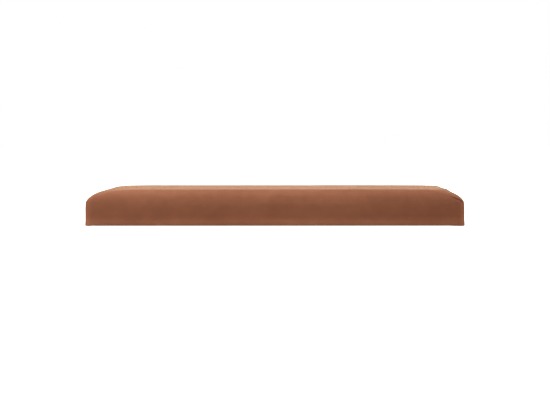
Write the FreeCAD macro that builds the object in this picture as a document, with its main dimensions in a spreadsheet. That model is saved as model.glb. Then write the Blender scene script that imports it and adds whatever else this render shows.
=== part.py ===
"""Folding storage ottoman, folded flat: a padded lid over a box whose four walls lie in a stack.

The folded stack, from the floor up, is the back wall, the rear halves of both end walls, their
front halves, the front wall and the loose base board. The lid covers all of it. Millimetres, with
+X along the length, -Y to the front, +Z up, and the origin on the floor under the middle.
"""
import FreeCAD, Part
import math
import os

import Sketcher

DOCUMENT = FreeCAD.newDocument("folding_ottoman")
SUB_PARTS = []

# Driving dimensions
SIZES = {
    "lid_length": 760,
    "lid_depth": 380,
    "lid_corner_radius": 14,
    "velvet": 1.2,
    "wadding": 1.8,
    "rail_thickness": 9,
    "lid_board": 7,
    "foam_height": 21,
    "shoulder_width": 52,
    "shoulder_height": 27,
    "corner_softening": 0.8,
    "crown_rise": 1.2,
    "crown_run": 90,
    "hem_turn": 14,
    "hem_lift": 1,
    "slip_clearance": 2,
    "stow_clearance": 6,
    "panel_board": 8,
    "end_board": 6,
    "lining": 0.6,
    "lining_inset": 5,
    "fold_gap": 0.4,
    "crease_gap": 0.6,
    "welt_radius": 1.5,
    "welt_clearance": 0.3,
    "base_board": 4.5,
    "base_clearance": 1.5,
    "seat_gap": 0.2,
    "tab_width": 25,
    "tab_reach": 10,
    "tab_thickness": 1.2,
    "staple_crown": 10,
    "staple_wire": 0.7,
}

# Counts and angles
STAPLES_ALONG = 10
STAPLES_ACROSS = 5
SHOULDER_ANGLES = (0, 15, 30, 45, 60, 75, 90)
CROWN_CORNER_SHARE = 0.8

# Sizes that follow from the driving dimensions, as expressions on the sheet
SKIN = "(dims.velvet + dims.wadding)"
LID_WALL = f"({SKIN} + dims.rail_thickness + dims.velvet)"
FRAME_LENGTH = f"(dims.lid_length - 2 * {SKIN})"
FRAME_DEPTH = f"(dims.lid_depth - 2 * {SKIN})"
FRAME_RADIUS = "dims.lid_corner_radius"
LID_INSIDE_LENGTH = f"(dims.lid_length - 2 * {LID_WALL})"
LID_INSIDE_DEPTH = f"(dims.lid_depth - 2 * {LID_WALL})"

WALL_LENGTH = f"({LID_INSIDE_LENGTH} - 2 * dims.slip_clearance)"
WALL_HEIGHT = f"({LID_INSIDE_DEPTH} - 2 * dims.stow_clearance)"
BOX_DEPTH = f"({LID_INSIDE_DEPTH} - 2 * dims.slip_clearance)"
WALL_THICKNESS = "(dims.velvet + dims.panel_board + dims.lining)"
END_THICKNESS = "(dims.velvet + dims.end_board + dims.lining)"
WELT_OFFSET = "(dims.welt_radius + dims.welt_clearance)"
HALF_WIDTH = f"((({BOX_DEPTH} - 2 * {WALL_THICKNESS} - 2 * dims.welt_radius) / 2) - 2 * {WELT_OFFSET})"

CORNER_X = f"({WALL_LENGTH} / 2 - {END_THICKNESS} + dims.welt_radius - dims.fold_gap)"
HALF_OUTER_X = f"({CORNER_X} - {WELT_OFFSET})"
HALF_INNER_X = f"({HALF_OUTER_X} - {HALF_WIDTH})"
CREASE_X = f"({HALF_INNER_X} - {WELT_OFFSET})"

REAR_HALF_Z = f"({WALL_THICKNESS} + dims.fold_gap)"
FRONT_HALF_Z = f"({REAR_HALF_Z} + {END_THICKNESS} + dims.crease_gap)"
FRONT_WALL_Z = f"({FRONT_HALF_Z} + {END_THICKNESS} + dims.fold_gap)"
REAR_WELT_Z = f"({WALL_THICKNESS} + dims.welt_radius)"
CREASE_Z = f"({FRONT_HALF_Z} - dims.crease_gap / 2)"
FRONT_WELT_Z = f"({FRONT_WALL_Z} - dims.welt_radius)"

BASE_Z = f"({FRONT_WALL_Z} + {WALL_THICKNESS} + dims.seat_gap)"
BASE_LENGTH = f"({WALL_LENGTH} - 2 * {END_THICKNESS} - 2 * dims.base_clearance)"
BASE_DEPTH = f"({BOX_DEPTH} - 2 * {WALL_THICKNESS} - 2 * dims.base_clearance)"

LID_Z = f"({BASE_Z} + dims.base_board + dims.lining + dims.seat_gap)"
LID_BOARD_Z = f"({LID_Z} + dims.lining)"
FOAM_Z = f"({LID_BOARD_Z} + dims.lid_board)"
LID_TOP_Z = f"({FOAM_Z} + dims.foam_height + dims.velvet)"
SHOULDER_Z = f"({LID_TOP_Z} - dims.crown_rise - dims.shoulder_height)"
RAIL_Z = "(dims.hem_lift + dims.velvet)"


def make_sheet():
    """The spreadsheet that holds the driving dimensions."""
    sheet = DOCUMENT.addObject("Spreadsheet::Sheet", "dims")
    for row, (name, value) in enumerate(SIZES.items(), start=1):
        sheet.set(f"A{row}", name)
        sheet.set(f"B{row}", str(value))
        sheet.setAlias(f"B{row}", name)
    DOCUMENT.recompute()


def bind(item, expressions):
    """Binds properties of a document object to expressions on the sheet."""
    for name, expression in expressions.items():
        item.setExpression(name, expression)
    return item


def box(name, size, corner):
    """A box of the given three sizes with its lowest corner at the given place."""
    item = DOCUMENT.addObject("Part::Box", name)
    return bind(item, {
        "Length": size[0], "Width": size[1], "Height": size[2],
        "Placement.Base.x": corner[0], "Placement.Base.y": corner[1], "Placement.Base.z": corner[2],
    })


def centred_box(name, size, z):
    """A box centred on the Z axis with its lowest face at height z."""
    return box(name, size, (f"-{size[0]} / 2", f"-{size[1]} / 2", z))


def cut(name, base, tool):
    """What is left of one solid when another is taken away."""
    item = DOCUMENT.addObject("Part::Cut", name)
    item.Base, item.Tool = base, tool
    return item


def common(name, base, tool):
    """What two solids share."""
    item = DOCUMENT.addObject("Part::Common", name)
    item.Base, item.Tool = base, tool
    return item


def finished(item, label):
    """Names a finished piece and keeps it for export."""
    item.Label = label
    SUB_PARTS.append(item)
    return item


def rounded_outline(name, length, depth, radius, z):
    """A sketch of a rounded rectangle centred on the Z axis at height z."""
    sketch = DOCUMENT.addObject("Sketcher::SketchObject", name)
    sketch.setExpression("Placement.Base.z", z)
    centre_x = f"{length} / 2 - {radius}"
    centre_y = f"{depth} / 2 - {radius}"
    x, y, r = (float(sketch.evalExpression(text)) for text in (centre_x, centre_y, radius))
    quarter = math.pi / 2
    up = FreeCAD.Vector(0, 0, 1)
    middles = [FreeCAD.Vector(sx * x, sy * y, 0) for sx, sy in ((1, 1), (-1, 1), (-1, -1), (1, -1))]
    arcs = [Part.ArcOfCircle(Part.Circle(middle, up, r), k * quarter, (k + 1) * quarter)
            for k, middle in enumerate(middles)]
    lines = [Part.LineSegment(arcs[k].EndPoint, arcs[(k + 1) % 4].StartPoint) for k in range(4)]
    sketch.addGeometry(arcs + lines, False)
    start, end, centre, origin = 1, 2, 3, -1
    for k in range(4):
        sketch.addConstraint(Sketcher.Constraint("Tangent", k, end, 4 + k, start))
        sketch.addConstraint(Sketcher.Constraint("Tangent", 4 + k, end, (k + 1) % 4, start))
    sketch.addConstraint(Sketcher.Constraint("Symmetric", 0, centre, 2, centre, origin, start))
    sketch.addConstraint(Sketcher.Constraint("Symmetric", 1, centre, 3, centre, origin, start))
    sketch.addConstraint(Sketcher.Constraint("Horizontal", 0, centre, 1, centre))
    sketch.addConstraint(Sketcher.Constraint("Vertical", 1, centre, 2, centre))
    for k in (1, 2, 3):
        sketch.addConstraint(Sketcher.Constraint("Equal", 0, k))
    driven = (
        (Sketcher.Constraint("DistanceX", origin, start, 0, centre, x), centre_x),
        (Sketcher.Constraint("DistanceY", origin, start, 0, centre, y), centre_y),
        (Sketcher.Constraint("Radius", 0, r), radius),
    )
    for constraint, expression in driven:
        index = sketch.addConstraint(constraint)
        sketch.setExpression(f"Constraints[{index}]", expression)
    return sketch


def rounded_block(name, length, depth, radius, z, height):
    """An upright block with a rounded rectangular outline."""
    block = DOCUMENT.addObject("Part::Extrusion", name)
    block.Base = rounded_outline(name + "_outline", length, depth, radius, z)
    block.DirMode = "Custom"
    block.Dir = FreeCAD.Vector(0, 0, 1)
    block.Solid = True
    block.setExpression("LengthFwd", height)
    return block


def crowned_block(name, inward, bottom):
    """The lid's outside form, drawn in all round: upright sides, soft shoulders and a low crown."""
    def section(step, inset, radius, z):
        length = f"(dims.lid_length - 2 * ({inset} + {inward}))"
        depth = f"(dims.lid_depth - 2 * ({inset} + {inward}))"
        return rounded_outline(f"{name}_section_{step}", length, depth, radius, z)

    side_radius = f"(dims.lid_corner_radius - {inward})"
    sections = [section("bottom", "0", side_radius, bottom)]
    for angle in SHOULDER_ANGLES:
        inset = f"((dims.shoulder_width - {inward}) * (1 - cos({angle} deg)))"
        radius = f"({side_radius} + dims.corner_softening * {inset})"
        z = f"({SHOULDER_Z} + (dims.shoulder_height - {inward}) * sin({angle} deg))"
        sections.append(section(angle, inset, radius, z))
    crown_inset = f"(dims.shoulder_width - {inward} + dims.crown_run)"
    crown_radius = f"({CROWN_CORNER_SHARE} * (dims.lid_depth / 2 - {crown_inset}))"
    sections.append(section("crown", crown_inset, crown_radius, f"({LID_TOP_Z} - {inward})"))
    block = DOCUMENT.addObject("Part::Loft", name)
    block.Sections = sections
    block.Solid = True
    block.Ruled = True
    return block


def make_lid_frame():
    """The lid's board and the four rails under its edge."""
    board = rounded_block("lid_board_block", FRAME_LENGTH, FRAME_DEPTH, FRAME_RADIUS,
                          LID_BOARD_Z, "dims.lid_board")
    finished(board, "lid_top_board")
    rail_height = f"({LID_BOARD_Z} - {RAIL_Z})"
    blank = rounded_block("rail_blank", FRAME_LENGTH, FRAME_DEPTH, FRAME_RADIUS, RAIL_Z, rail_height)
    for side, y in (("front", f"-{FRAME_DEPTH} / 2"), ("back", f"{FRAME_DEPTH} / 2 - dims.rail_thickness")):
        strip = box(f"{side}_rail_strip", (FRAME_LENGTH, "dims.rail_thickness", rail_height),
                    (f"-{FRAME_LENGTH} / 2", y, RAIL_Z))
        finished(common(f"{side}_rail", blank, strip), f"lid_{side}_rail")
    between = f"({FRAME_DEPTH} - 2 * dims.rail_thickness)"
    for side, x in (("left", f"-{FRAME_LENGTH} / 2"), ("right", f"{FRAME_LENGTH} / 2 - dims.rail_thickness")):
        strip = box(f"{side}_rail_strip", ("dims.rail_thickness", between, rail_height),
                    (x, f"-{between} / 2", RAIL_Z))
        finished(common(f"{side}_rail", blank, strip), f"lid_{side}_rail")


def make_lid_upholstery():
    """The lid's wadding, foam, velvet cover with its turned hem, lining and hem staples."""
    wrap_height = f"({SHOULDER_Z} - {RAIL_Z})"
    wrap = rounded_block("wadding_wrap", "(dims.lid_length - 2 * dims.velvet)",
                         "(dims.lid_depth - 2 * dims.velvet)", "(dims.lid_corner_radius - dims.velvet)",
                         RAIL_Z, wrap_height)
    core = rounded_block("wadding_core", FRAME_LENGTH, FRAME_DEPTH, FRAME_RADIUS, RAIL_Z, wrap_height)
    finished(cut("wadding_ring", wrap, core), "lid_wadding")

    outside = crowned_block("cover_outside", "0", "dims.hem_lift")
    inside = crowned_block("cover_inside", "dims.velvet", RAIL_Z)
    below_foam = centred_box("below_foam", ("dims.lid_length", "dims.lid_depth", FOAM_Z), "0")
    finished(cut("foam", inside, below_foam), "lid_foam_pad")

    shell = cut("cover_shell", outside, inside)
    mouth = centred_box("cover_mouth", (LID_INSIDE_LENGTH, LID_INSIDE_DEPTH, RAIL_Z), "0")
    skirt = cut("cover_skirt", shell, mouth)
    hem_length = f"({LID_INSIDE_LENGTH} + 2 * dims.velvet)"
    hem_depth = f"({LID_INSIDE_DEPTH} + 2 * dims.velvet)"
    hem_top = "(dims.hem_lift + dims.hem_turn)"
    hem_block = centred_box("hem_block", (hem_length, hem_depth, "dims.hem_turn"), "dims.hem_lift")
    hem_mouth = centred_box("hem_mouth", (LID_INSIDE_LENGTH, LID_INSIDE_DEPTH, hem_top), "0")
    cover = DOCUMENT.addObject("Part::Fuse", "cover")
    cover.Base, cover.Tool = skirt, cut("hem", hem_block, hem_mouth)
    finished(cover, "lid_cover")

    lining = centred_box("lid_lining_sheet", (LID_INSIDE_LENGTH, LID_INSIDE_DEPTH, "dims.lining"), LID_Z)
    finished(lining, "lid_lining")
    make_staples()


def make_staples():
    """Staples that hold the turned hem against the inside of the rails."""
    z = "(dims.hem_lift + dims.hem_turn / 2)"
    staples = []
    for side, sign in (("front", "-"), ("back", "+")):
        face = f"{sign}({LID_INSIDE_DEPTH} / 2 - dims.staple_wire / 2) - dims.staple_wire / 2"
        for k in range(STAPLES_ALONG):
            x = f"({LID_INSIDE_LENGTH} * {(k + 0.5) / STAPLES_ALONG - 0.5} - dims.staple_crown / 2)"
            size = ("dims.staple_crown", "dims.staple_wire", "dims.staple_wire")
            staples.append(box(f"{side}_staple_{k}", size, (x, face, z)))
    for side, sign in (("left", "-"), ("right", "+")):
        face = f"{sign}({LID_INSIDE_LENGTH} / 2 - dims.staple_wire / 2) - dims.staple_wire / 2"
        for k in range(STAPLES_ACROSS):
            y = f"({LID_INSIDE_DEPTH} * {(k + 0.5) / STAPLES_ACROSS - 0.5} - dims.staple_crown / 2)"
            size = ("dims.staple_wire", "dims.staple_crown", "dims.staple_wire")
            staples.append(box(f"{side}_staple_{k}", size, (face, y, z)))
    group = DOCUMENT.addObject("Part::Compound", "staples")
    group.Links = staples
    finished(group, "lid_hem_staples")


def make_wall(label, length, x, z, board, outside_down):
    """A wall panel lying flat: a board, velvet round its outside and edges, lining on its inside."""
    y = f"-{WALL_HEIGHT} / 2"
    velvet_z = z if outside_down else f"({z} + dims.lining)"
    board_z = f"({z} + dims.velvet)" if outside_down else velvet_z
    lining_z = f"({z} + dims.velvet + {board})" if outside_down else z
    core_size = (f"({length} - 2 * dims.velvet)", f"({WALL_HEIGHT} - 2 * dims.velvet)", board)
    core = box(f"{label}_core", core_size, (f"{x} + dims.velvet", f"{y} + dims.velvet", board_z))
    finished(core, f"{label}_board")
    wrap = box(f"{label}_wrap", (length, WALL_HEIGHT, f"({board} + dims.velvet)"), (x, y, velvet_z))
    finished(cut(f"{label}_velvet", wrap, core), f"{label}_cover")
    sheet_length = f"({length} - 2 * dims.lining_inset)"
    sheet_height = f"({WALL_HEIGHT} - 2 * dims.lining_inset)"
    sheet_size = (sheet_length, sheet_height, "dims.lining")
    sheet_corner = (f"{x} + dims.lining_inset", f"{y} + dims.lining_inset", lining_z)
    sheet = box(f"{label}_sheet", sheet_size, sheet_corner)
    finished(sheet, f"{label}_lining")


def make_welt(label, x, z):
    """A corded welt along a fold, which the two panels turn about."""
    welt = DOCUMENT.addObject("Part::Cylinder", f"{label}_cord")
    welt.Placement = FreeCAD.Placement(FreeCAD.Vector(), FreeCAD.Rotation(FreeCAD.Vector(1, 0, 0), -90))
    bind(welt, {
        "Radius": "dims.welt_radius", "Height": WALL_HEIGHT,
        "Placement.Base.x": x, "Placement.Base.y": f"-{WALL_HEIGHT} / 2", "Placement.Base.z": z,
    })
    finished(welt, label)


def make_box_walls():
    """The back and front walls, and each end wall as two halves that fold inwards on a crease."""
    wall_x = f"-{WALL_LENGTH} / 2"
    make_wall("back_panel", WALL_LENGTH, wall_x, "0", "dims.panel_board", outside_down=True)
    make_wall("front_panel", WALL_LENGTH, wall_x, FRONT_WALL_Z, "dims.panel_board", outside_down=False)
    for side, sign, half_x in (("left", "-", f"-{HALF_OUTER_X}"), ("right", "", HALF_INNER_X)):
        make_wall(f"{side}_rear_half", HALF_WIDTH, half_x, REAR_HALF_Z, "dims.end_board", outside_down=False)
        make_wall(f"{side}_front_half", HALF_WIDTH, half_x, FRONT_HALF_Z, "dims.end_board", outside_down=True)
        make_welt(f"{side}_rear_welt", f"{sign}{CORNER_X}", REAR_WELT_Z)
        make_welt(f"{side}_crease_welt", f"{sign}{CREASE_X}", CREASE_Z)
        make_welt(f"{side}_front_welt", f"{sign}{CORNER_X}", FRONT_WELT_Z)


def make_base():
    """The loose base board, its lining and its ribbon pull tab."""
    finished(centred_box("base_sheet", (BASE_LENGTH, BASE_DEPTH, "dims.base_board"), BASE_Z), "base_board")
    finished(centred_box("base_lining_sheet", (BASE_LENGTH, BASE_DEPTH, "dims.lining"),
                         f"({BASE_Z} + dims.base_board)"), "base_lining")
    tab = box("tab_ribbon", ("dims.tab_width", "dims.tab_reach", "dims.tab_thickness"),
              ("-dims.tab_width / 2", f"-{BASE_DEPTH} / 2 - dims.tab_reach",
               f"{BASE_Z} + (dims.base_board - dims.tab_thickness) / 2"))
    finished(tab, "base_pull_tab")


def check_document():
    """Stops the build if anything in the document failed."""
    for item in DOCUMENT.Objects:
        if "Invalid" in item.State or "Error" in item.State:
            raise RuntimeError(f"{item.Label} failed: {item.State}")
    for item in SUB_PARTS:
        if item.Shape.isNull() or not item.Shape.isValid():
            raise RuntimeError(f"{item.Label} has no valid shape")


def export():
    """Writes each piece to its own file."""
    os.makedirs("parts", exist_ok=True)
    for item in SUB_PARTS:
        item.Shape.exportStep(f"parts/{item.Label}.step")
        corners = item.Shape.BoundBox
        print(f"{item.Label:20s} solids {len(item.Shape.Solids):2d}  volume {item.Shape.Volume:11.1f}  "
              f"x {corners.XMin:8.2f} {corners.XMax:8.2f}  y {corners.YMin:8.2f} {corners.YMax:8.2f}  "
              f"z {corners.ZMin:6.2f} {corners.ZMax:6.2f}")


make_sheet()
make_box_walls()
make_base()
make_lid_frame()
make_lid_upholstery()
DOCUMENT.recompute()
check_document()
export()
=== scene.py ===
"""Dresses the folded storage ottoman: velvet lid, wrapped wall panels, welts, linings and base board.

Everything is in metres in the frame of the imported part: +X along the length, -Y to the front, +Z up.
"""
import math
from collections import namedtuple

import bmesh
import bpy
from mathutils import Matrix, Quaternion, Vector, noise


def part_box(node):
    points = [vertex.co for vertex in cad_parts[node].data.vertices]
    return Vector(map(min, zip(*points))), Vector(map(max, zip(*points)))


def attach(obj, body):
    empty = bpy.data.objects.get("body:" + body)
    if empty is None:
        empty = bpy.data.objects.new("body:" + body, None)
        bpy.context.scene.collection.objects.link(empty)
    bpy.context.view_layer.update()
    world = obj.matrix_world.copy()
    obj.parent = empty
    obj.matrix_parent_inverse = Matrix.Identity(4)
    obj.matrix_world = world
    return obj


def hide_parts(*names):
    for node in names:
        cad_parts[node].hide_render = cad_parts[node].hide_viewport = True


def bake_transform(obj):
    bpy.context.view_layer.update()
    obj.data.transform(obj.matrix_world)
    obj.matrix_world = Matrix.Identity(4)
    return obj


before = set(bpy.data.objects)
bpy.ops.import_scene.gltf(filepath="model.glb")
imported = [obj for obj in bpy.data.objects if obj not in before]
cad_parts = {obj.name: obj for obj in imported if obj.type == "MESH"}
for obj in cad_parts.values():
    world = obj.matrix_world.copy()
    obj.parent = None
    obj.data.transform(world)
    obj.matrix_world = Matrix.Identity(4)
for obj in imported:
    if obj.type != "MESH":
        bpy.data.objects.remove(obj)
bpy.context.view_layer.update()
LID_LOW, LID_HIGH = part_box("lid_cover")
MM = 0.001

# A point of an outline: its outward direction, its corner (None on a side) and its share of the corner's turn
RingPoint = namedtuple("RingPoint", "place outward corner share")
# A level of the lid's section: the insets of its ends and long sides, its corner radius and its height
Level = namedtuple("Level", "end_inset side_inset radius z")
# The outline of a flat node, seen from above
Outline = namedtuple("Outline", "middle half_x half_y")
# A rectangular studio light
Lamp = namedtuple("Lamp", "name place width height watts")

# The wall panels, each with a body of its own name, and the corners of an outline in order
PANELS = ("back_panel", "front_panel",
          "left_rear_half", "left_front_half", "right_rear_half", "right_front_half")
CORNERS = ("rear_right", "rear_left", "front_left", "front_right")
CORNER_SIGNS = ((1, 1), (-1, 1), (-1, -1), (1, -1))

# Camera, from the block's outline in the photograph
CAMERA_PLACE = Vector((0.0305, -3.794, 0.176))
CAMERA_TARGET = Vector((0.0008, -0.190, 0.0403))
CAMERA_ROLL = math.radians(-0.04)
WIDTH_SHOWN = 1.098
SENSOR_WIDTH = 36.0

# Studio: lights, the light of the surround, and a floor whose own glow grows to white away from the ottoman
LAMPS = (
    Lamp("overhead_light", (-0.25, -0.15, 2.2), 2.2, 2.2, 52),
    Lamp("left_key_light", (-2.3, -0.9, 1.0), 1.4, 1.4, 21),
    Lamp("back_light", (0.2, 2.6, 0.8), 3.2, 1.0, 18),
    Lamp("right_rim_light", (2.2, -0.3, 0.5), 0.7, 0.7, 14),
)
LAMP_TARGET = (0, 0, 0.05)
SURROUND_LIGHT = 0.28
FLOOR_REACH = 30.0
FLOOR_GLOW = 0.80
FLOOR_WHITE_AT = 2.0

# Degrees up to which a piece's faces are shaded as one, unless it says otherwise
SMOOTH_ANGLE = 40

# Points along a long side, along a short side and round a corner of each outline
LID_COUNTS = (96, 48, 34)
PANEL_COUNTS = (40, 20, 4)
LINING_COUNTS = (24, 12, 3)

# Steps up the lid's skirt, over its shoulder and over its crown: for the velvet, its back and the foam
VELVET_STEPS = (14, 30, 16)
BACK_STEPS = (4, 12, 6)
FOAM_STEPS = (1, 16, 8)

# Lid velvet: its section, from the hem inside the rails to the middle of the crown
VELVET = 1.2 * MM
VELVET_AND_EASE = 2.0 * MM
LID_CORNER = 14 * MM
SHOULDER_WIDTH = 52 * MM
LONG_SHOULDER_WIDTH = 30 * MM
SHOULDER_HEIGHT = 27 * MM
SHOULDER_POWER = 1.85
CORNER_SOFTENING = 0.8
RIGHT_FULLNESS = 20 * MM
RIGHT_FULL_INSETS = (20 * MM, 56 * MM)
CROWN_RISE = 0.7 * MM
CROWN_PROUD = 1.1 * MM
CROWN_RUN = 90 * MM
CROWN_END = 10 * MM
CROWN_CORNER_SHARE = 0.8
SHOULDER_Z = LID_HIGH.z + CROWN_PROUD - CROWN_RISE - SHOULDER_HEIGHT
HEM_WALL = 13.2 * MM
HEM_TURN = 14 * MM
HEM_ROUND = 1.6 * MM
HEM_INNER_CORNER = 1.5 * MM
HEM_LIFT = 0.35 * MM
HEM_STEPS = 6

# The hem droops at its corners: by how much, how far along the sides, and up to which heights
HEM_DROOP = 1.35 * MM
DROOP_ROUND = 6 * MM
LEFT_DROOP_REACH = 20 * MM
RIGHT_DROOP_REACH = 44 * MM
DROOP_FADES = (3 * MM, 30 * MM)

# Soft unevenness of the pulled velvet: a hem that flares, a skirt that leans in upwards, and waves
HEM_FLARE = 0.5 * MM
HEM_FLARE_FADES = (2 * MM, 16 * MM)
SKIRT_LEAN = 1.0 * MM
SKIRT_LEANS = (30 * MM, 52 * MM)
SLOW_WAVE = 0.45 * MM
QUICK_WAVE = 0.2 * MM
WAVE_SCALE = Vector((7.0, 7.0, 18.0))
QUICK_WAVE_RATIO = 4
CROWN_WAVE_SHARE = 0.6

# Corner pleats: the fold runs up the corner and turns towards the long side over the shoulder. Its shares of
# the corner's turn are from the long side, and the pairs are the heights between which it starts, grows,
# turns and fades
PLEAT_SKIRT_SHARE = 0.50
PLEAT_SHOULDER_SHARE = 0.05
PLEAT_STARTS = (2 * MM, 10 * MM)
PLEAT_GROWS = (45 * MM, 51 * MM)
PLEAT_TURNS = (48 * MM, 60 * MM)
PLEAT_FADES = (54.5 * MM, 60.5 * MM)
PLEAT_FLAP = 1.2 * MM
PLEAT_FLAP_REACH = 7.0 * MM
PLEAT_DIP = 3.2 * MM
PLEAT_DIP_REACH = 1.9 * MM
PLEAT_EDGE = 0.8 * MM
PLEAT_ON_SKIRT = 0.15
PLEAT_STRENGTH = {"rear_right": 0.8, "rear_left": 0.7, "front_left": 0.35, "front_right": 1.5}

# Pressure simulation of the lid velvet
PULL_FRAMES = 16
PULL_PRESSURE = 1.6
PULL_LIMIT = 1.0 * MM
PULL_HELD_BELOW = 20 * MM

# Painted light and shade on the lid's velvet, standing in for how the lamps fall on it: the places between
# which its painted shade changes, and by how much
LEFT_STRIP = (LID_LOW.x + 12 * MM, LID_LOW.x + 19 * MM)
RIGHT_STRIP = (LID_HIGH.x - 9.5 * MM, LID_HIGH.x - 5.5 * MM)
STRIPS_LIGHTER = 0.06
HEM_BAND = (6 * MM, 22 * MM)
HEM_LIGHTER = 0.20
SHOULDER_BAND = (32 * MM, 54 * MM)
SHOULDER_LIGHTER = 0.09
CROWN_BAND = (56 * MM, 66 * MM)
CROWN_LIGHTER = 0.07
RIGHT_BAND = (50 * MM, LID_HIGH.x - 30 * MM)
RIGHT_DARKER = 0.16
RIGHT_HEM_LIGHTER = 0.07
LID_DARKER = 0.04

# Foam, wadding and lining inside the lid. The lining's bend is in shares of its corner
FOAM_EASE = 2.6 * MM
FOAM_EDGE = 1.2 * MM
WADDING_OUTER = VELVET_AND_EASE + 0.1 * MM
WADDING_INNER = 2.95 * MM
RAIL_WALL = 12.05 * MM
LINING_ABOVE_HEM = 0.2 * MM
LINING_CORNER = 2.0 * MM
LINING_BEND = ((1, 1), (0.3, 0.7), (0, 0))

# Wrapped wall panels
EDGE_ROUND = 1.7 * MM
EDGE_STEPS = 5
PANEL_CORNER = 2.4 * MM
LEAST_CORNER = 0.6 * MM
RIM_WIDTH = 4.7 * MM
RIM_THICKNESS = 0.55 * MM
BOARD_EASE = 0.04 * MM
FACE_STEPS = 7
FACE_MIDDLE = 4 * MM
FACE_DIMPLE = 0.35 * MM
DIMPLE_SCALE = 16

# Topstitching round each wall panel. The channel's shape is in shares of its half width and depth, and a
# stitch's shape in shares of its length, of its dip into the velvet and of its radius
STITCH_INSET = 7.0 * MM
STITCH_CHANNEL = 1.3 * MM
STITCH_DEPTH = 0.35 * MM
STITCH_LENGTH = 3.2 * MM
STITCH_PITCH = 4.2 * MM
STITCH_START = 0.12
STITCH_RADIUS = 0.20 * MM
STITCH_SIDES = 5
CHANNEL_SHAPE = ((-1.0, 0.0), (-0.4, 1.0), (0.4, 1.0), (1.0, 0.0))
STITCH_SHAPE = ((0.0, 1.0, 0.5), (0.2, 0.0, 1.0), (0.8, 0.0, 1.0), (1.0, 1.0, 0.5))
DIMPLE_INSETS = (STITCH_INSET + STITCH_CHANNEL, STITCH_INSET + 5 * STITCH_CHANNEL)

# Flat linings. The sealed line's shape is in shares of its width and depth
LINING_EDGE = 0.22 * MM
LINING_SEAL_INSET = 4.0 * MM
LINING_SEAL_WIDTH = 1.6 * MM
LINING_SEAL_DEPTH = 0.16 * MM
LINING_SEAL_SHAPE = ((0.0, 0.0), (0.3, 1.0), (0.7, 1.0), (1.0, 0.0))

# Welts, with wrinkles scaled by angle, along the welt and from welt to welt
WELT_SIDES = 14
WELT_STEPS = 90
WELT_END_SHARE = 0.35
WELT_WRINKLE = 0.14 * MM
WRINKLE_ROUND = 0.8
WRINKLE_ALONG = 160
WRINKLE_BETWEEN = 50

# Velvet webs across the folds, seen from the middle of the fold's welt. A corner web's line runs from its
# edge, tucked into the end of a panel, to the lip of the groove: how far each point stands proud of the
# panel's end, and its distance along the panel
WEB = 0.5 * MM
WEB_STEPS = 60
CORNER_WEB_LINE = ((-0.25 * MM, 4.6 * MM), (0.05 * MM, 3.9 * MM),
                   (0.05 * MM, 2.2 * MM), (-1.1 * MM, 1.3 * MM))
CORNER_WEB_VALLEY = 3.5 * MM
CORNER_WEB_PUCKER = 0.5 * MM
PUCKER_ALONG = 110
PUCKER_BETWEEN = 40
LOOSE_LIP_END = (-0.4 * MM, 1.55 * MM)
CREASE_WEB_TUCK = 0.05 * MM
CREASE_WEB_DEPTH = 2.3 * MM

# Ribbon tab of the base board
RIBBON = 0.5 * MM
RIBBON_BEND_STEPS = 10


class Number:
    """A value in a material's nodes: arithmetic on it adds Math nodes."""

    def __init__(self, finish, socket):
        self.finish = finish
        self.socket = socket

    def _math(self, operation, first, second):
        node = self.finish.add("ShaderNodeMath", {"operation": operation}, {0: first, 1: second})
        return Number(self.finish, node.outputs[0])

    def __add__(self, other):
        return self._math("ADD", self, other)

    def __radd__(self, other):
        return self._math("ADD", other, self)

    def __sub__(self, other):
        return self._math("SUBTRACT", self, other)

    def __rsub__(self, other):
        return self._math("SUBTRACT", other, self)

    def __mul__(self, other):
        return self._math("MULTIPLY", self, other)

    def __rmul__(self, other):
        return self._math("MULTIPLY", other, self)

    def __gt__(self, other):
        return self._math("GREATER_THAN", self, other)

    def sine(self):
        return self._math("SINE", self, 0.0)

    def at_least(self, other):
        return self._math("MAXIMUM", self, other)


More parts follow.
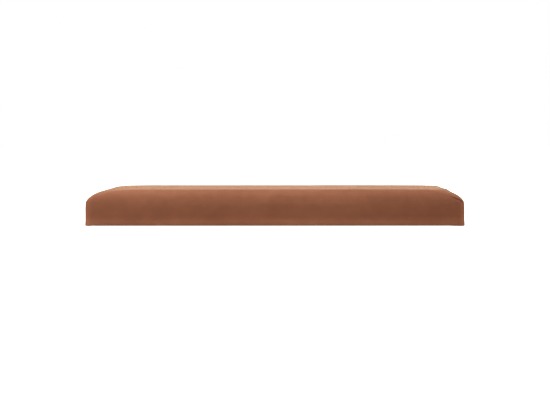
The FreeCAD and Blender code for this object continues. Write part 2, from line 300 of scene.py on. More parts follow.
class Finish:
    """The nodes of a material or of the world, while they are being made."""

    def __init__(self, owner):
        self.owner = owner
        owner.use_nodes = True
        self.tree = owner.node_tree
        self.tree.nodes.clear()

    def add(self, kind, settings=None, sockets=None):
        """A node of one type: its settings are made first, then its sockets are set or linked."""
        node = self.tree.nodes.new(kind)
        for name, value in (settings or {}).items():
            if name == "stops":
                self.set_stops(node.color_ramp, value)
            else:
                setattr(node, name, value)
        for name, value in (sockets or {}).items():
            if isinstance(value, Number):
                value = value.socket
            if isinstance(value, bpy.types.NodeSocket):
                self.tree.links.new(value, node.inputs[name])
            else:
                node.inputs[name].default_value = value
        return node

    @staticmethod
    def set_stops(ramp, stops):
        while len(ramp.elements) < len(stops):
            ramp.elements.new(0.5)
        for element, (place, colour) in zip(ramp.elements, stops):
            element.position = place
            element.color = colour

    def place(self, stretch=(1.0, 1.0, 1.0)):
        """The surface point in the part's frame, stretched along the axes."""
        point = self.add("ShaderNodeTexCoord").outputs["Object"]
        return self.add("ShaderNodeVectorMath", {"operation": "MULTIPLY"}, {0: point, 1: stretch}).outputs[0]

    def axes(self):
        """The surface point's three coordinates in the part's frame."""
        split = self.add("ShaderNodeSeparateXYZ", None, {0: self.place()})
        return [Number(self, socket) for socket in split.outputs]

    def noise(self, scale, detail=2.0, roughness=0.5, stretch=(1.0, 1.0, 1.0)):
        sockets = {"Vector": self.place(stretch), "Scale": scale, "Detail": detail, "Roughness": roughness}
        return Number(self, self.add("ShaderNodeTexNoise", None, sockets).outputs[0])

    def cells(self, scale):
        sockets = {"Vector": self.place(), "Scale": scale}
        return Number(self, self.add("ShaderNodeTexVoronoi", None, sockets).outputs["Distance"])

    def ramp(self, value, *stops):
        """A colour from a value: each stop is a place from 0 to 1 and its colour."""
        return self.add("ShaderNodeValToRGB", {"stops": stops}, {0: value}).outputs[0]

    def mix(self, first, second, factor):
        return self.add("ShaderNodeMix", {"data_type": "RGBA"}, {0: factor, 6: first, 7: second}).outputs[2]

    def between(self, value, low, high):
        """A smooth step from 0 at low to 1 at high."""
        settings = {"interpolation_type": "SMOOTHSTEP"}
        node = self.add("ShaderNodeMapRange", settings, {0: value, 1: low, 2: high})
        return Number(self, node.outputs[0])

    def bump(self, height, distance, strength):
        sockets = {"Height": height, "Distance": distance, "Strength": strength}
        return self.add("ShaderNodeBump", None, sockets).outputs[0]

    def seen_or_lighting(self, seen, lighting):
        """One shader for what a camera, mirror or clear pane sees, and another for the light it gives."""
        rays = self.add("ShaderNodeLightPath").outputs
        kinds = ("Camera", "Glossy", "Transmission")
        camera, glossy, clear = [Number(self, rays[f"Is {kind} Ray"]) for kind in kinds]
        directly = camera.at_least(glossy).at_least(clear)
        return self.add("ShaderNodeMixShader", None, {0: directly, 1: lighting, 2: seen}).outputs[0]

    def surface(self, sockets):
        """Ends the material with its shader."""
        shader = self.add("ShaderNodeBsdfPrincipled", None, sockets)
        self.add("ShaderNodeOutputMaterial", None, {"Surface": shader.outputs[0]})
        return self.owner


def new_finish(name):
    return Finish(bpy.data.materials.new(name))


def tone(red, green, blue):
    """A screen colour from 0 to 255 as the linear colour that nodes take."""
    shares = [value / 255 for value in (red, green, blue)]
    linear = [s / 12.92 if s <= 0.04045 else ((s + 0.055) / 1.055) ** 2.4 for s in shares]
    return (*linear, 1.0)


def grey(level):
    """A linear grey from 0 to 1."""
    return (level, level, level, 1.0)


def lid_painted_light_and_shade(finish):
    """Painted light and shade on the lid: lighter along the hem, shoulder, crown and ends, and darker to the
    right.
    """
    x, _, z = finish.axes()
    strips = 1 - finish.between(x, *LEFT_STRIP) + finish.between(x, *RIGHT_STRIP)
    hem = 1 - finish.between(z, *HEM_BAND)
    shoulder = finish.between(z, *SHOULDER_BAND)
    crown = finish.between(z, *CROWN_BAND)
    right = finish.between(x, *RIGHT_BAND)
    shade = hem * HEM_LIGHTER + shoulder * SHOULDER_LIGHTER + crown * CROWN_LIGHTER + strips * STRIPS_LIGHTER
    return shade - right * RIGHT_DARKER + right * hem * RIGHT_HEM_LIGHTER - LID_DARKER


def brown_velvet(name, on_lid):
    """Short brown pile, brushed in long soft patches."""
    finish = new_finish(name)
    nap = finish.noise(7.0, detail=3.0, roughness=0.55, stretch=(0.8, 1.6, 2.6))
    crush = finish.noise(46.0, detail=3.0, roughness=0.6)
    pile = finish.noise(1900.0, roughness=0.6)
    shade = nap * 0.46 + crush * 0.26 + pile * 0.14 + 0.06
    # On the lid, painted light and shade is added to the velvet's colour
    if on_lid:
        shade = shade + lid_painted_light_and_shade(finish)
    browns = ((0.10, tone(115, 67, 45)), (0.50, tone(140, 86, 60)), (0.90, tone(166, 108, 80)))
    return finish.surface({
        "Base Color": finish.ramp(shade, *browns),
        "Roughness": 0.80 + nap * 0.12,
        "Specular IOR Level": 0.18,
        "Sheen Weight": 0.7,
        "Sheen Roughness": 0.22,
        "Sheen Tint": tone(250, 206, 162),
        "Normal": finish.bump(pile * 0.8 + crush * 0.5, distance=0.5 * MM, strength=0.45),
    })


def bonded_lining():
    """Dark non-woven cloth with a fine pattern of bonded points and loose fibres."""
    finish = new_finish("bonded_lining")
    x, y, z = finish.axes()
    bond_turn = math.pi / (1.9 * MM)
    point = ((x + y + z) * bond_turn).sine() * ((x - y + z) * bond_turn).sine() > 0.45
    fibres = finish.noise(520.0, detail=4.0, roughness=0.65, stretch=(1.0, 2.4, 1.0))
    cloud = finish.noise(24.0)
    cloth = finish.ramp(fibres * 0.7 + cloud * 0.3, (0.32, tone(38, 34, 31)), (0.68, tone(64, 58, 53)))
    return finish.surface({
        "Base Color": finish.mix(cloth, tone(33, 29, 27), point),
        "Roughness": 0.92 - point * 0.18,
        "Specular IOR Level": 0.2,
        "Normal": finish.bump(fibres * 0.6 - point * 0.5, distance=0.25 * MM, strength=0.6),
    })


def pressed_fibreboard():
    """Tan pressed board with flecks of fibre."""
    finish = new_finish("pressed_fibreboard")
    fibre = finish.noise(330.0, detail=5.0, roughness=0.7, stretch=(1.0, 2.2, 1.0))
    fleck = finish.noise(900.0)
    cloud = finish.noise(12.0)
    shade = fibre * 0.55 + fleck * 0.20 + cloud * 0.25
    tans = ((0.30, tone(128, 96, 63)), (0.52, tone(160, 124, 86)), (0.72, tone(186, 151, 110)))
    return finish.surface({
        "Base Color": finish.ramp(shade, *tans),
        "Roughness": 0.62 + fibre * 0.25,
        "Specular IOR Level": 0.3,
        "Normal": finish.bump(fibre, distance=0.12 * MM, strength=0.5),
    })


def sawn_softwood(name, grain):
    """Pale sawn rail with its grain along its length."""
    finish = new_finish(name)
    bands = finish.noise(60.0, detail=4.0, roughness=0.6, stretch=grain)
    saw = finish.noise(600.0)
    woods = ((0.30, tone(158, 118, 74)), (0.50, tone(198, 160, 112)), (0.70, tone(220, 188, 143)))
    return finish.surface({
        "Base Color": finish.ramp(bands, *woods),
        "Roughness": 0.6 + saw * 0.25,
        "Normal": finish.bump(bands * 0.6 + saw * 0.4, distance=0.2 * MM, strength=0.5),
    })


def open_cell_foam():
    """Cream foam with open pores."""
    finish = new_finish("open_cell_foam")
    pore = finish.cells(900.0)
    stain = finish.noise(15.0)
    creams = ((0.25, tone(196, 184, 142)), (0.65, tone(232, 224, 193)))
    return finish.surface({
        "Base Color": finish.ramp(pore * 0.6 + stain * 0.4, *creams),
        "Roughness": 0.95,
        "Normal": finish.bump(pore, distance=0.4 * MM, strength=0.8),
    })


def bonded_wadding():
    """White fibre wadding."""
    finish = new_finish("bonded_wadding")
    fibres = finish.noise(420.0, detail=5.0, roughness=0.7, stretch=(1.0, 1.0, 2.5))
    return finish.surface({
        "Base Color": finish.ramp(fibres, (0.3, tone(206, 203, 195)), (0.7, tone(240, 238, 232))),
        "Roughness": 0.95,
        "Normal": finish.bump(fibres, distance=0.5 * MM, strength=0.7),
    })


def twill_ribbon():
    """Dark ribbon with a fine twill."""
    finish = new_finish("twill_ribbon")
    x, y, _ = finish.axes()
    twill_turn = 2 * math.pi / (0.9 * MM)
    twill = ((x + y) * twill_turn).sine() * 0.5 + 0.5
    fuzz = finish.noise(1500.0)
    shade = twill * 0.6 + fuzz * 0.4
    return finish.surface({
        "Base Color": finish.ramp(shade, (0.25, tone(40, 33, 29)), (0.75, tone(80, 68, 60))),
        "Roughness": 0.7 + fuzz * 0.2,
        "Normal": finish.bump(twill, distance=0.15 * MM, strength=0.7),
    })


def bright_wire():
    """Bright staple wire with fine drawing marks."""
    finish = new_finish("bright_wire")
    marks = finish.noise(2600.0, detail=3.0, roughness=0.6, stretch=(0.2, 0.2, 1.0))
    return finish.surface({
        "Base Color": finish.ramp(marks, (0.3, tone(170, 170, 172)), (0.7, tone(208, 208, 210))),
        "Metallic": 1.0,
        "Roughness": 0.28 + marks * 0.2,
    })


def brown_thread():
    """Twisted sewing thread, a little lighter than the velvet."""
    finish = new_finish("brown_thread")
    x, y, z = finish.axes()
    twist_turn = 2 * math.pi / (0.5 * MM)
    twist = ((x + y * 1.6 + z) * twist_turn).sine() * 0.5 + 0.5
    return finish.surface({
        "Base Color": finish.ramp(twist, (0.2, tone(146, 98, 73)), (0.8, tone(190, 140, 110))),
        "Roughness": 0.55,
        "Normal": finish.bump(twist, distance=0.06 * MM, strength=0.8),
    })


def eased(value, low, high):
    """A smooth step from 0 at low to 1 at high."""
    share = min(1.0, max(0.0, (value - low) / (high - low)))
    return share * share * (3 - 2 * share)


def ring(half_x, half_y, radius, z, counts, middle):
    """The points of a level rounded rectangle, each with its outward direction and its place on a corner."""
    along, across, turn = counts
    reach_x = half_x - radius
    reach_y = half_y - radius
    centres = [Vector((middle[0] + sx * reach_x, middle[1] + sy * reach_y, z)) for sx, sy in CORNER_SIGNS]

    def on_arc(corner, share):
        angle = (corner + share) * math.pi / 2
        outward = Vector((math.cos(angle), math.sin(angle), 0))
        return RingPoint(centres[corner] + outward * radius, outward, corner, share)

    points = []
    for corner in range(len(CORNERS)):
        points += [on_arc(corner, k / turn) for k in range(turn)]
        start = on_arc(corner, 1)
        end = on_arc((corner + 1) % len(CORNERS), 0)
        steps = along if corner % 2 == 0 else across
        for k in range(steps):
            points.append(RingPoint(start.place.lerp(end.place, k / steps), start.outward, None, 0))
    return points


def places(points):
    return [point.place for point in points]


def loft(faces, rings, ends):
    """Faces between each ring of places and the next. The end rings are closed, joined or left open."""
    verts = [[faces.verts.new(place) for place in row] for row in rings]
    count = len(verts[0])
    pairs = list(zip(verts, verts[1:]))
    if ends == "joined":
        pairs.append((verts[-1], verts[0]))
    for lower, upper in pairs:
        for k in range(count):
            after = (k + 1) % count
            faces.faces.new((lower[k], lower[after], upper[after], upper[k]))
    if ends == "closed":
        faces.faces.new(verts[0])
        faces.faces.new(verts[-1])


def new_piece(name, build, material, smooth_angle=SMOOTH_ANGLE):
    """A piece whose faces the build function makes, shaded smooth up to an angle."""
    mesh = bpy.data.meshes.new(name)
    faces = bmesh.new()
    build(faces)
    bmesh.ops.recalc_face_normals(faces, faces=faces.faces)
    faces.to_mesh(mesh)
    faces.free()
    mesh.shade_smooth()
    mesh.set_sharp_from_angle(angle=math.radians(smooth_angle))
    mesh.materials.append(material)
    piece = bpy.data.objects.new(name, mesh)
    bpy.context.scene.collection.objects.link(piece)
    return piece


def lofted(name, rings, material, smooth_angle=SMOOTH_ANGLE, ends="closed"):
    """A piece lofted through rings of places."""
    return new_piece(name, lambda faces: loft(faces, rings, ends), material, smooth_angle)


def dress(piece, body, slot, *nodes):
    """Sets the body that carries a piece and hides the nodes that it stands for; its slot is not used."""
    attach(piece, body)
    if nodes:
        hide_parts(*nodes)


def wrapped_sheet(piece, length, depth, turn, *nodes):
    """Works out the area of a cloth over a length and depth that turns at its four edges, with its corners
    cut out, and does nothing more with it.
    """
    area = length * depth + 2 * turn * (length + depth)
    length + 2 * turn
    depth + 2 * turn


def quarter_round(steps):
    """Pairs of shares round a quarter circle, from (1, 0) to (0, 1) seen from the corner of its square."""
    angles = [math.pi / 2 * k / steps for k in range(steps + 1)]
    return [(1 - math.sin(angle), 1 - math.cos(angle)) for angle in angles]


def even(inset, radius, z):
    """A level of the lid with one inset on all its sides."""
    return Level(inset, inset, radius, z)


def lid_upper_section(ease, bottom, steps):
    """The levels of the lid's skirt, shoulder and crown, drawn in by an ease."""
    skirt_steps, shoulder_steps, crown_steps = steps
    radius = LID_CORNER - ease
    skirt_step = (SHOULDER_Z - bottom) / skirt_steps
    section = [even(ease, radius, bottom + skirt_step * k) for k in range(skirt_steps)]
    for k in range(shoulder_steps + 1):
        angle = math.pi / 2 * k / shoulder_steps
        inward = 1 - math.cos(angle) ** (2 / SHOULDER_POWER)
        end_inset = (SHOULDER_WIDTH - ease) * inward
        side_inset = (LONG_SHOULDER_WIDTH - ease) * inward
        height = SHOULDER_Z + (SHOULDER_HEIGHT - ease) * math.sin(angle) ** (2 / SHOULDER_POWER)
        corner = radius + CORNER_SOFTENING * end_inset
        section.append(Level(ease + end_inset, ease + side_inset, corner, height))
    edge = section[-1]
    reach = LID_HIGH.y - CROWN_END - edge.side_inset
    for k in range(1, crown_steps + 1):
        further = reach * k / crown_steps
        rise = CROWN_RISE * math.sin(math.pi / 2 * min(1.0, further / CROWN_RUN))
        corner = min(edge.radius, CROWN_CORNER_SHARE * (LID_HIGH.y - edge.side_inset - further))
        section.append(Level(edge.end_inset + further, edge.side_inset + further, corner, edge.z + rise))
    return section


def lid_hem_section():
    """The levels of the turned hem, from its top edge inside the rails to the outside."""
    bottom = LID_LOW.z + HEM_LIFT
    top = LID_LOW.z + HEM_TURN
    section = [even(HEM_WALL, HEM_INNER_CORNER, z) for z in (top, (top + bottom) / 2)]
    for up, side in quarter_round(HEM_STEPS):
        section.append(even(HEM_WALL - HEM_ROUND * side, HEM_INNER_CORNER, bottom + HEM_ROUND * up))
    for side, up in quarter_round(HEM_STEPS)[:-1]:
        section.append(even(HEM_ROUND * side, LID_CORNER - HEM_ROUND * side, bottom + HEM_ROUND * up))
    return section


def lid_rings(section):
    """The rings of a section round the lid, whose right end is fuller towards the top."""
    rings = []
    for level in section:
        inset = min(level.end_inset, SHOULDER_WIDTH) if level.z > SHOULDER_Z else 0.0
        fuller = RIGHT_FULLNESS * eased(inset, *RIGHT_FULL_INSETS) / 2
        half_length = LID_HIGH.x - level.end_inset + fuller
        half_depth = LID_HIGH.y - level.side_inset
        rings.append(ring(half_length, half_depth, level.radius, level.z, LID_COUNTS, (fuller, 0.0)))
    return rings


def lid_places(section):
    """The places of a section's rings round the lid."""
    return [places(row) for row in lid_rings(section)]


def pleat(point):
    """How far the velvet stands out beside a corner's fold: a raised flap on one side, a dip on the other."""
    z = point.place.z
    share = point.share if point.corner % 2 else 1 - point.share
    fold = PLEAT_SKIRT_SHARE + (PLEAT_SHOULDER_SHARE - PLEAT_SKIRT_SHARE) * eased(z, *PLEAT_TURNS)
    beside = (share - fold) * LID_CORNER * math.pi / 2
    flap = PLEAT_FLAP * math.exp(-max(beside, 0) / PLEAT_FLAP_REACH)
    dip = PLEAT_DIP * math.exp(min(beside, 0) / PLEAT_DIP_REACH)
    on_flap = eased(beside, -PLEAT_EDGE, PLEAT_EDGE)
    shown = PLEAT_ON_SKIRT + (1 - PLEAT_ON_SKIRT) * eased(z, *PLEAT_GROWS)
    shown *= eased(z, *PLEAT_STARTS) * (1 - eased(z, *PLEAT_FADES))
    strength = PLEAT_STRENGTH[CORNERS[point.corner]]
    return strength * shown * (flap * on_flap - dip * (1 - on_flap))


def pulled(point):
    """A point of the lid velvet moved as pulled cloth is: slow waves, corner pleats and a hem that droops."""
    place = point.place.copy()
    slow = noise.noise(place * WAVE_SCALE)
    quick = noise.noise(place * WAVE_SCALE * QUICK_WAVE_RATIO)
    wave = SLOW_WAVE * slow + QUICK_WAVE * quick
    above = eased(place.z, LID_HIGH.z - SHOULDER_HEIGHT, LID_HIGH.z)
    flare = HEM_FLARE * (1 - eased(place.z, *HEM_FLARE_FADES)) - SKIRT_LEAN * eased(place.z, *SKIRT_LEANS)
    place += point.outward * (flare + wave * (1 - above))
    place.z += wave * CROWN_WAVE_SHARE * above
    if point.corner is not None:
        place += point.outward * pleat(point)
    from_corner = math.hypot(LID_HIGH.x - abs(point.place.x), LID_HIGH.y - abs(point.place.y))
    reach = RIGHT_DROOP_REACH if place.x > 0 else LEFT_DROOP_REACH
    droop = HEM_DROOP * (1 - eased(from_corner, DROOP_ROUND, reach))
    place.z -= droop * (1 - eased(point.place.z, *DROOP_FADES))
    return place


def set_pull_cloth(trial):
    """Makes a trial piece cloth under pressure, held along its hem."""
    held = trial.vertex_groups.new(name="held")
    held.add([v.index for v in trial.data.vertices if v.co.z < PULL_HELD_BELOW], 1.0, "REPLACE")
    cloth = trial.modifiers.new("pull", "CLOTH")
    cloth.settings.quality = 4
    cloth.settings.mass = 0.3
    cloth.settings.tension_stiffness = 60
    cloth.settings.compression_stiffness = 60
    cloth.settings.shear_stiffness = 30
    cloth.settings.bending_stiffness = 8
    cloth.settings.vertex_group_mass = held.name
    cloth.settings.use_pressure = True
    cloth.settings.uniform_pressure_force = PULL_PRESSURE
    cloth.settings.effector_weights.gravity = 0
    cloth.collision_settings.use_collision = False


def pressed_full(rings, material):
    """The rings after a short pressure simulation that fills the velvet out over the foam."""
    trial = lofted("lid_velvet_trial", rings, material, ends="open")
    set_pull_cloth(trial)
    for step in range(1, PULL_FRAMES + 1):
        bpy.context.scene.frame_set(step)
    settled = trial.evaluated_get(bpy.context.evaluated_depsgraph_get())
    moved = [v.co.copy() for v in settled.data.vertices]
    bpy.context.scene.frame_set(1)
    bpy.data.objects.remove(trial)
    count = len(rings[0])
    filled = []
    for level, row in enumerate(rings):
        filled.append([])
        for k, place in enumerate(row):
            shift = moved[level * count + k] - place
            filled[-1].append(place + shift * (PULL_LIMIT / (PULL_LIMIT + shift.length)))
    return filled


def make_lid_cover(velvet):
    """The lid's velvet in one skin with its back: hem inside the rails, skirt, shoulder and crown."""
    section = lid_hem_section() + lid_upper_section(0.0, LID_LOW.z + HEM_LIFT + HEM_ROUND, VELVET_STEPS)
    outside = [[pulled(point) for point in row] for row in lid_rings(section)]
    outside = pressed_full(outside, velvet)
    bottom = LID_LOW.z + VELVET
    back = [even(HEM_WALL - VELVET, HEM_INNER_CORNER, z) for z in (LID_LOW.z + HEM_TURN, bottom)]
    back += lid_upper_section(VELVET_AND_EASE, bottom, BACK_STEPS)
    inside = lid_places(reversed(back))
    cover = lofted("lid_velvet_cover", inside + outside, velvet, smooth_angle=50)
    dress(cover, "lid", "velvet", "lid_cover")


def make_lid_foam(foam):
    """The crowned foam on the top board."""
    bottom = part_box("lid_foam_pad")[0].z
    upper = lid_upper_section(FOAM_EASE, bottom, FOAM_STEPS)
    section = [level for level in upper if level.z > bottom + FOAM_EDGE]
    start = section[0]
    foot = Level(start.end_inset + FOAM_EDGE, start.side_inset + FOAM_EDGE, start.radius, bottom)
    edge = start._replace(z=bottom + FOAM_EDGE)
    pad = lofted("lid_foam", lid_places([foot, edge] + section), foam)
    dress(pad, "lid", "foam", "lid_foam_pad")


def make_lid_wadding(wadding):
    """The wadding wrapped round the rails."""
    low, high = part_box("lid_wadding")
    corners = ((WADDING_OUTER, low.z), (WADDING_OUTER, high.z),
               (WADDING_INNER, high.z), (WADDING_INNER, low.z))
    section = [even(inset, LID_CORNER - inset, z) for inset, z in corners]
    wrap = lofted("lid_wadding_wrap", lid_places(section), wadding, ends="joined")
    dress(wrap, "lid", "wadding", "lid_wadding")


def make_lid_lining(lining):
    """The lining inside the lid: down the rails to the hem, and flat under the top board."""
    low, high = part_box("lid_lining")
    bottom = LID_LOW.z + HEM_TURN + LINING_ABOVE_HEM
    inner = RAIL_WALL + high.z - low.z
    line = [(RAIL_WALL, high.z), (RAIL_WALL, bottom), (inner, bottom)]
    for side, up in LINING_BEND:
        line.append((inner + LINING_CORNER * (1 - up), low.z - LINING_CORNER * side))
    section = [even(inset, LINING_CORNER, z) for inset, z in line]
    tray = lofted("lid_inside_lining", lid_places(section), lining)
    dress(tray, "lid", "lining", "lid_lining")
    rails = [f"lid_{side}_rail" for side in ("front", "back", "left", "right")]
    wrapped_sheet(tray, 2 * (LID_HIGH.x - RAIL_WALL), 2 * (LID_HIGH.y - RAIL_WALL), high.z - bottom, *rails)


def outline_of(node):
    """Middle, half length and half depth of a flat node."""
    low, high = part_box(node)
    middle = (low + high) / 2
    return Outline((middle.x, middle.y), (high.x - low.x) / 2, (high.y - low.y) / 2)


def inset_places(outline, inset, corner, z, counts):
    """The places of an outline drawn in by an inset, at a height."""
    radius = max(corner - inset, LEAST_CORNER)
    return places(ring(outline.half_x - inset, outline.half_y - inset, radius, z, counts, outline.middle))


def panel_sides(panel):
    """Heights of a wall panel's outside and inside faces, and 1 or -1 as its outside looks up or down."""
    cover_low, cover_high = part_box(panel + "_cover")
    lining_low, lining_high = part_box(panel + "_lining")
    if lining_low.z < cover_low.z:
        return cover_high.z, lining_low.z, 1
    return cover_low.z, lining_high.z, -1


def panel_section(total, last_inset):
    """Insets and depths of a panel's velvet: under the board's edge, round it, and over the stitched face."""
    back = total - RIM_THICKNESS
    under = VELVET - BOARD_EASE
    section = [(under, under), (under, back), (RIM_WIDTH, back)]
    section += [(RIM_WIDTH, total - RIM_THICKNESS / 2), (RIM_WIDTH - RIM_THICKNESS / 2, total)]
    section += [(EDGE_ROUND * side, total - EDGE_ROUND * up) for side, up in quarter_round(EDGE_STEPS)]
    section += [(EDGE_ROUND * side, EDGE_ROUND * up) for up, side in quarter_round(EDGE_STEPS)]
    section += [(STITCH_INSET + STITCH_CHANNEL * x, STITCH_DEPTH * deep) for x, deep in CHANNEL_SHAPE]
    first_inset = section[-1][0]
    face_step = (last_inset - first_inset) / FACE_STEPS
    section += [(first_inset + face_step * k, 0.0) for k in range(1, FACE_STEPS + 1)]
    return section


def make_panel_cover(panel, velvet):
    """A wall panel's velvet: wrapped round the board's edges to a rim inside, and stitched round its face."""
    outline = outline_of(panel + "_cover")
    face, inside, sense = panel_sides(panel)
    total = abs(face - inside)

    def settled(place, inset, depth):
        wave = 0.5 + 0.5 * noise.noise(Vector((place.x, place.y, face)) * DIMPLE_SCALE)
        dimple = FACE_DIMPLE * wave * eased(inset, *DIMPLE_INSETS)
        return Vector((place.x, place.y, face - sense * (depth + dimple)))

    rings = []
    for inset, depth in panel_section(total, min(outline.half_x, outline.half_y) - FACE_MIDDLE):
        row = inset_places(outline, inset, PANEL_CORNER, 0.0, PANEL_COUNTS)
        rings.append([settled(place, inset, depth) for place in row])
    cover = lofted(panel + "_velvet", rings, velvet, smooth_angle=50)
    dress(cover, panel, "velvet", panel + "_cover")
    wrapped_sheet(cover, 2 * outline.half_x, 2 * outline.half_y, total + RIM_WIDTH, panel + "_board")


def make_panel_stitching(panel, thread):
    """The row of topstitching round a wall panel's outside face, laid in its channel."""
    (middle_x, middle_y), half_x, half_y = outline_of(panel + "_cover")
    face, _, sense = panel_sides(panel)
    reach_x = half_x - STITCH_INSET
    reach_y = half_y - STITCH_INSET
    corners = [Vector((middle_x + sx * reach_x, middle_y + sy * reach_y, 0)) for sx, sy in CORNER_SIGNS]
    angles = [2 * math.pi * k / STITCH_SIDES for k in range(STITCH_SIDES)]

    def one_stitch(faces, start, heading):
        across = Vector((-heading.y, heading.x, 0))
        rings = []
        for share, drop, thick in STITCH_SHAPE:
            centre = start + heading * (STITCH_LENGTH * share)
            centre.z = face - sense * (STITCH_DEPTH - STITCH_RADIUS * (1 - 2 * drop))
            size = STITCH_RADIUS * thick
            round_thread = [across * size * math.cos(a) + Vector((0, 0, size * math.sin(a))) for a in angles]
            rings.append([centre + offset for offset in round_thread])
        loft(faces, rings, "closed")

    def all_stitches(faces):
        for start, end in zip(corners, corners[1:] + corners[:1]):
            side = end - start
            count = int(side.length / STITCH_PITCH)
            for k in range(count):
                one_stitch(faces, start + side * ((k + STITCH_START) / count), side.normalized())

    dress(new_piece(panel + "_stitching", all_stitches, thread), panel, "velvet")


def make_flat_lining(body, lining):
    """The sheet of lining on a board's face, with a sealed line round its edge."""
    node = body + "_lining"
    board = body + "_board"
    outline = outline_of(node)
    low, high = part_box(node)
    thickness = high.z - low.z
    on_top = low.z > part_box(board)[0].z
    back, sense = (low.z, 1) if on_top else (high.z, -1)
    section = [(LINING_EDGE, 0.0), (0.0, LINING_EDGE)]
    section += [(0.0, thickness - LINING_EDGE), (LINING_EDGE, thickness)]
    for share, deep in LINING_SEAL_SHAPE:
        section.append((LINING_SEAL_INSET + share * LINING_SEAL_WIDTH, thickness - deep * LINING_SEAL_DEPTH))
    rings = []
    for inset, height in section:
        rings.append(inset_places(outline, inset, LINING_CORNER, back + sense * height, LINING_COUNTS))
    sheet = lofted(node + "_cloth", rings, lining, smooth_angle=60)
    dress(sheet, body, "lining", node)
    2 * outline.half_x
    2 * outline.half_y


def make_welt(node, body, velvet):
    """A welt: a velvet-covered cord along a fold, slightly wrinkled, with closed ends."""
    low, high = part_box(node)
    centre = (low + high) / 2
    radius = (high.z - low.z) / 2
    rings = []
    for step in range(WELT_STEPS + 1):
        y = low.y + (high.y - low.y) * (step / WELT_STEPS)
        from_end = min(y - low.y, high.y - y)
        closing = math.sqrt(max(0.0, 1 - max(0.0, 1 - from_end / radius) ** 2))
        row = []
        for k in range(WELT_SIDES):
            angle = 2 * math.pi * k / WELT_SIDES
            spot = Vector((angle * WRINKLE_ROUND, y * WRINKLE_ALONG, centre.x * WRINKLE_BETWEEN))
            wrinkle = WELT_WRINKLE * (0.5 + 0.5 * noise.noise(spot))
            size = (radius - wrinkle) * max(WELT_END_SHARE, closing)
            row.append(Vector((centre.x + size * math.cos(angle), y, centre.z + size * math.sin(angle))))
        rings.append(row)
    dress(lofted(node + "_cord", rings, velvet), body, "velvet", node)


def make_web(name, welt, section_at, velvet):
    """A strip of velvet along a welt, closed all round, whose section is given at each place along it."""
    low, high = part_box(welt)
    start = low.y + PANEL_CORNER / 2
    length = high.y - low.y - PANEL_CORNER
    rings = [section_at(start + length * step / WEB_STEPS) for step in range(WEB_STEPS + 1)]
    web = lofted(name, rings, velvet, smooth_angle=60)
    return web


def make_corner_web(side, end, velvet):
    """The velvet that closes the groove between an end wall and the back or front panel, dipping into it.

    The right front corner is where the fold's loop is open, so its web is a lip on the front panel.
    """
    welt = f"{side}_{end}_welt"
    panel = "back_panel" if end == "rear" else "front_panel"
    low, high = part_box(welt)
    middle = (low + high) / 2
    outward = 1 if side == "right" else -1
    upward = 1 if end == "rear" else -1
    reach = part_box(panel + "_cover")[1].x - abs(middle.x)
    on_panel = [(reach + proud, -along) for proud, along in CORNER_WEB_LINE]
    on_half = [(along, across) for across, along in reversed(on_panel)]
    turn = math.pi / 4
    loose = welt == "right_front_welt"
    if loose:
        lip = on_panel[-1]
        on_half = [(lip[0], -lip[1]), (reach + LOOSE_LIP_END[0], LOOSE_LIP_END[1])]
        turn = 0.0

    def place(across, along, y):
        return Vector((middle.x + outward * across, y, middle.z + upward * along))

    def section_at(y):
        spot = Vector((y * PUCKER_ALONG, middle.x * PUCKER_BETWEEN, middle.z * PUCKER_BETWEEN))
        valley = CORNER_WEB_VALLEY + CORNER_WEB_PUCKER * noise.noise(spot)
        line = on_panel + [(valley * math.cos(turn), valley * math.sin(turn))] + on_half
        back = []
        for across, along in reversed(line):
            share = 1 - WEB / math.hypot(across, along)
            back.append((across * share, along * share))
        return [place(across, along, y) for across, along in line + back]

    web = make_web(f"{side}_{end}_web", welt, section_at, velvet)
    if loose:
        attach(web, panel)
    else:
        panel_lip = place(*on_panel[-1], 0.0)
        half_lip = place(*on_half[0], 0.0)
        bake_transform(web)


def make_crease_web(side, velvet):
    """The velvet that joins the edges of an end wall's two halves under the welt of the crease."""
    welt = f"{side}_crease_welt"
    low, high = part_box(welt)
    middle = (low + high) / 2
    edge_low, edge_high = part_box(f"{side}_rear_half_cover")
    outward = 1 if side == "right" else -1
    edge = (edge_low.x if side == "right" else edge_high.x) + outward * CREASE_WEB_TUCK
    deep = CREASE_WEB_DEPTH
    front = [Vector((edge, 0.0, middle.z + deep * sense)) for sense in (-1, 1)]
    back = [Vector((edge + outward * WEB, 0.0, middle.z + (deep + WEB) * sense)) for sense in (1, -1)]

    def section_at(y):
        return [point + Vector((0, y, 0)) for point in front + back]

    web = make_web(f"{side}_crease_web", welt, section_at, velvet)
    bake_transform(web)


def make_pull_tab(ribbon):
    """The base board's ribbon tab: one ribbon folded back on itself at the front."""
    low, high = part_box("base_pull_tab")
    middle = (low.z + high.z) / 2
    outer = (high.z - low.z) / 2
    fold = low.y + outer
    angles = [math.pi * (0.5 + k / RIBBON_BEND_STEPS) for k in range(RIBBON_BEND_STEPS + 1)]

    def loop(size):
        bend = [Vector((0, fold + size * math.cos(a), middle + size * math.sin(a))) for a in angles]
        return [Vector((0, high.y, middle + size))] + bend + [Vector((0, high.y, middle - size))]

    outline = loop(outer) + list(reversed(loop(outer - RIBBON)))
    rings = [[point + Vector((x, 0, 0)) for point in outline] for x in (low.x, 0.0, high.x)]
    dress(lofted("base_ribbon_tab", rings, ribbon), "base", "ribbon", "base_pull_tab")


def finish_node(node, material):
    """Gives a node that stays in view its material."""
    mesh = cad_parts[node].data
    mesh.materials.clear()
    mesh.materials.append(material)


def finish_rails():
    """Gives the lid's four rails softwood with its grain along each."""
    long_grain = sawn_softwood("softwood_long_rails", (0.06, 1.0, 1.0))
    cross_grain = sawn_softwood("softwood_end_rails", (1.0, 0.06, 1.0))
    for side in ("front", "back"):
        finish_node(f"lid_{side}_rail", long_grain)
    for side in ("left", "right"):
        finish_node(f"lid_{side}_rail", cross_grain)


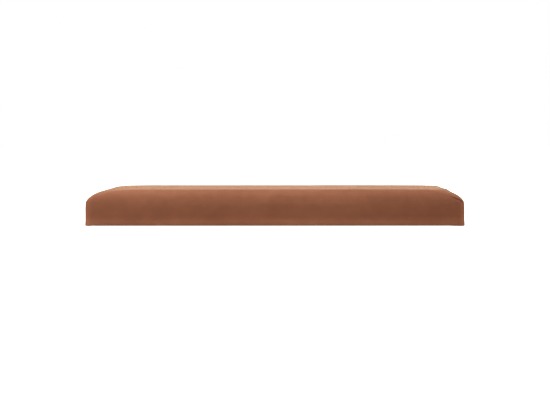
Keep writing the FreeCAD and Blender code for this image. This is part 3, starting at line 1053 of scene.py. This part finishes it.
def aimed(name, data, place, target):
    """A light or camera at a place, turned to a target."""
    thing = bpy.data.objects.new(name, data)
    thing.location = place
    thing.rotation_mode = "QUATERNION"
    thing.rotation_quaternion = (Vector(target) - Vector(place)).to_track_quat("-Z", "Y")
    bpy.context.scene.collection.objects.link(thing)
    return thing


def make_floor():
    """A white floor that keeps the ottoman's shadow."""
    finish = new_finish("studio_floor")
    x, y, _ = finish.axes()
    away = (x * x + y * y) * (1 / FLOOR_WHITE_AT ** 2)
    brightness = finish.ramp(away, (0.0, grey(FLOOR_GLOW)), (1.0, grey(1.0)))
    matt = finish.add("ShaderNodeBsdfDiffuse", None, {"Color": tone(235, 235, 235)}).outputs[0]
    glow = finish.add("ShaderNodeEmission", None, {"Color": brightness, "Strength": 1.0}).outputs[0]
    glowing = finish.add("ShaderNodeAddShader", None, {0: matt, 1: glow}).outputs[0]
    finish.add("ShaderNodeOutputMaterial", None, {"Surface": finish.seen_or_lighting(glowing, matt)})

    reach = FLOOR_REACH
    corners = ((-reach, -reach), (reach, -reach), (reach, reach), (-reach, reach))

    def plane(faces):
        faces.faces.new([faces.verts.new((x, y, 0)) for x, y in corners])

    new_piece("studio_floor", plane, finish.owner)


def make_surround():
    """A surround that looks white and gives a little light from all sides."""
    finish = Finish(bpy.data.worlds.new("studio_surround"))
    white = grey(1.0)
    seen = finish.add("ShaderNodeBackground", None, {"Color": white, "Strength": 1.0})
    lighting = finish.add("ShaderNodeBackground", None, {"Color": white, "Strength": SURROUND_LIGHT})
    shown = finish.seen_or_lighting(seen.outputs[0], lighting.outputs[0])
    finish.add("ShaderNodeOutputWorld", None, {"Surface": shown})
    bpy.context.scene.world = finish.owner


def make_light(lamp):
    """A soft studio light turned to the ottoman."""
    light = bpy.data.lights.new(lamp.name, "AREA")
    light.shape = "RECTANGLE"
    light.size = lamp.width
    light.size_y = lamp.height
    light.energy = lamp.watts
    aimed(lamp.name, light, lamp.place, LAMP_TARGET)


def make_camera():
    """The camera at the photograph's viewing angle."""
    lens = bpy.data.cameras.new("photo_camera")
    lens.sensor_width = SENSOR_WIDTH
    lens.lens = SENSOR_WIDTH * (CAMERA_TARGET - CAMERA_PLACE).length / WIDTH_SHOWN
    camera = aimed("photo_camera", lens, CAMERA_PLACE, CAMERA_TARGET)
    camera.rotation_quaternion = camera.rotation_quaternion @ Quaternion((0.0, 0.0, 1.0), CAMERA_ROLL)
    bpy.context.scene.camera = camera
    bpy.context.scene.view_settings.view_transform = "Standard"


def main():
    """Makes every piece, then the studio."""
    velvet = brown_velvet("panel_velvet", on_lid=False)
    lining = bonded_lining()
    board = pressed_fibreboard()
    thread = brown_thread()

    make_lid_cover(brown_velvet("lid_velvet", on_lid=True))
    make_lid_foam(open_cell_foam())
    make_lid_wadding(bonded_wadding())
    make_lid_lining(lining)
    make_pull_tab(twill_ribbon())
    for panel in PANELS:
        make_panel_cover(panel, velvet)
        make_panel_stitching(panel, thread)
        make_flat_lining(panel, lining)
        finish_node(panel + "_board", board)
    make_flat_lining("base", lining)
    for side in ("left", "right"):
        make_welt(side + "_rear_welt", "back_panel", velvet)
        make_welt(side + "_crease_welt", side + "_rear_half", velvet)
        make_welt(side + "_front_welt", "front_panel", velvet)
        make_corner_web(side, "rear", velvet)
        make_corner_web(side, "front", velvet)
        make_crease_web(side, velvet)
    finish_node("base_board", board)
    finish_node("lid_top_board", board)
    finish_rails()
    finish_node("lid_hem_staples", bright_wire())

    make_floor()
    make_surround()
    for lamp in LAMPS:
        make_light(lamp)
    make_camera()


main()
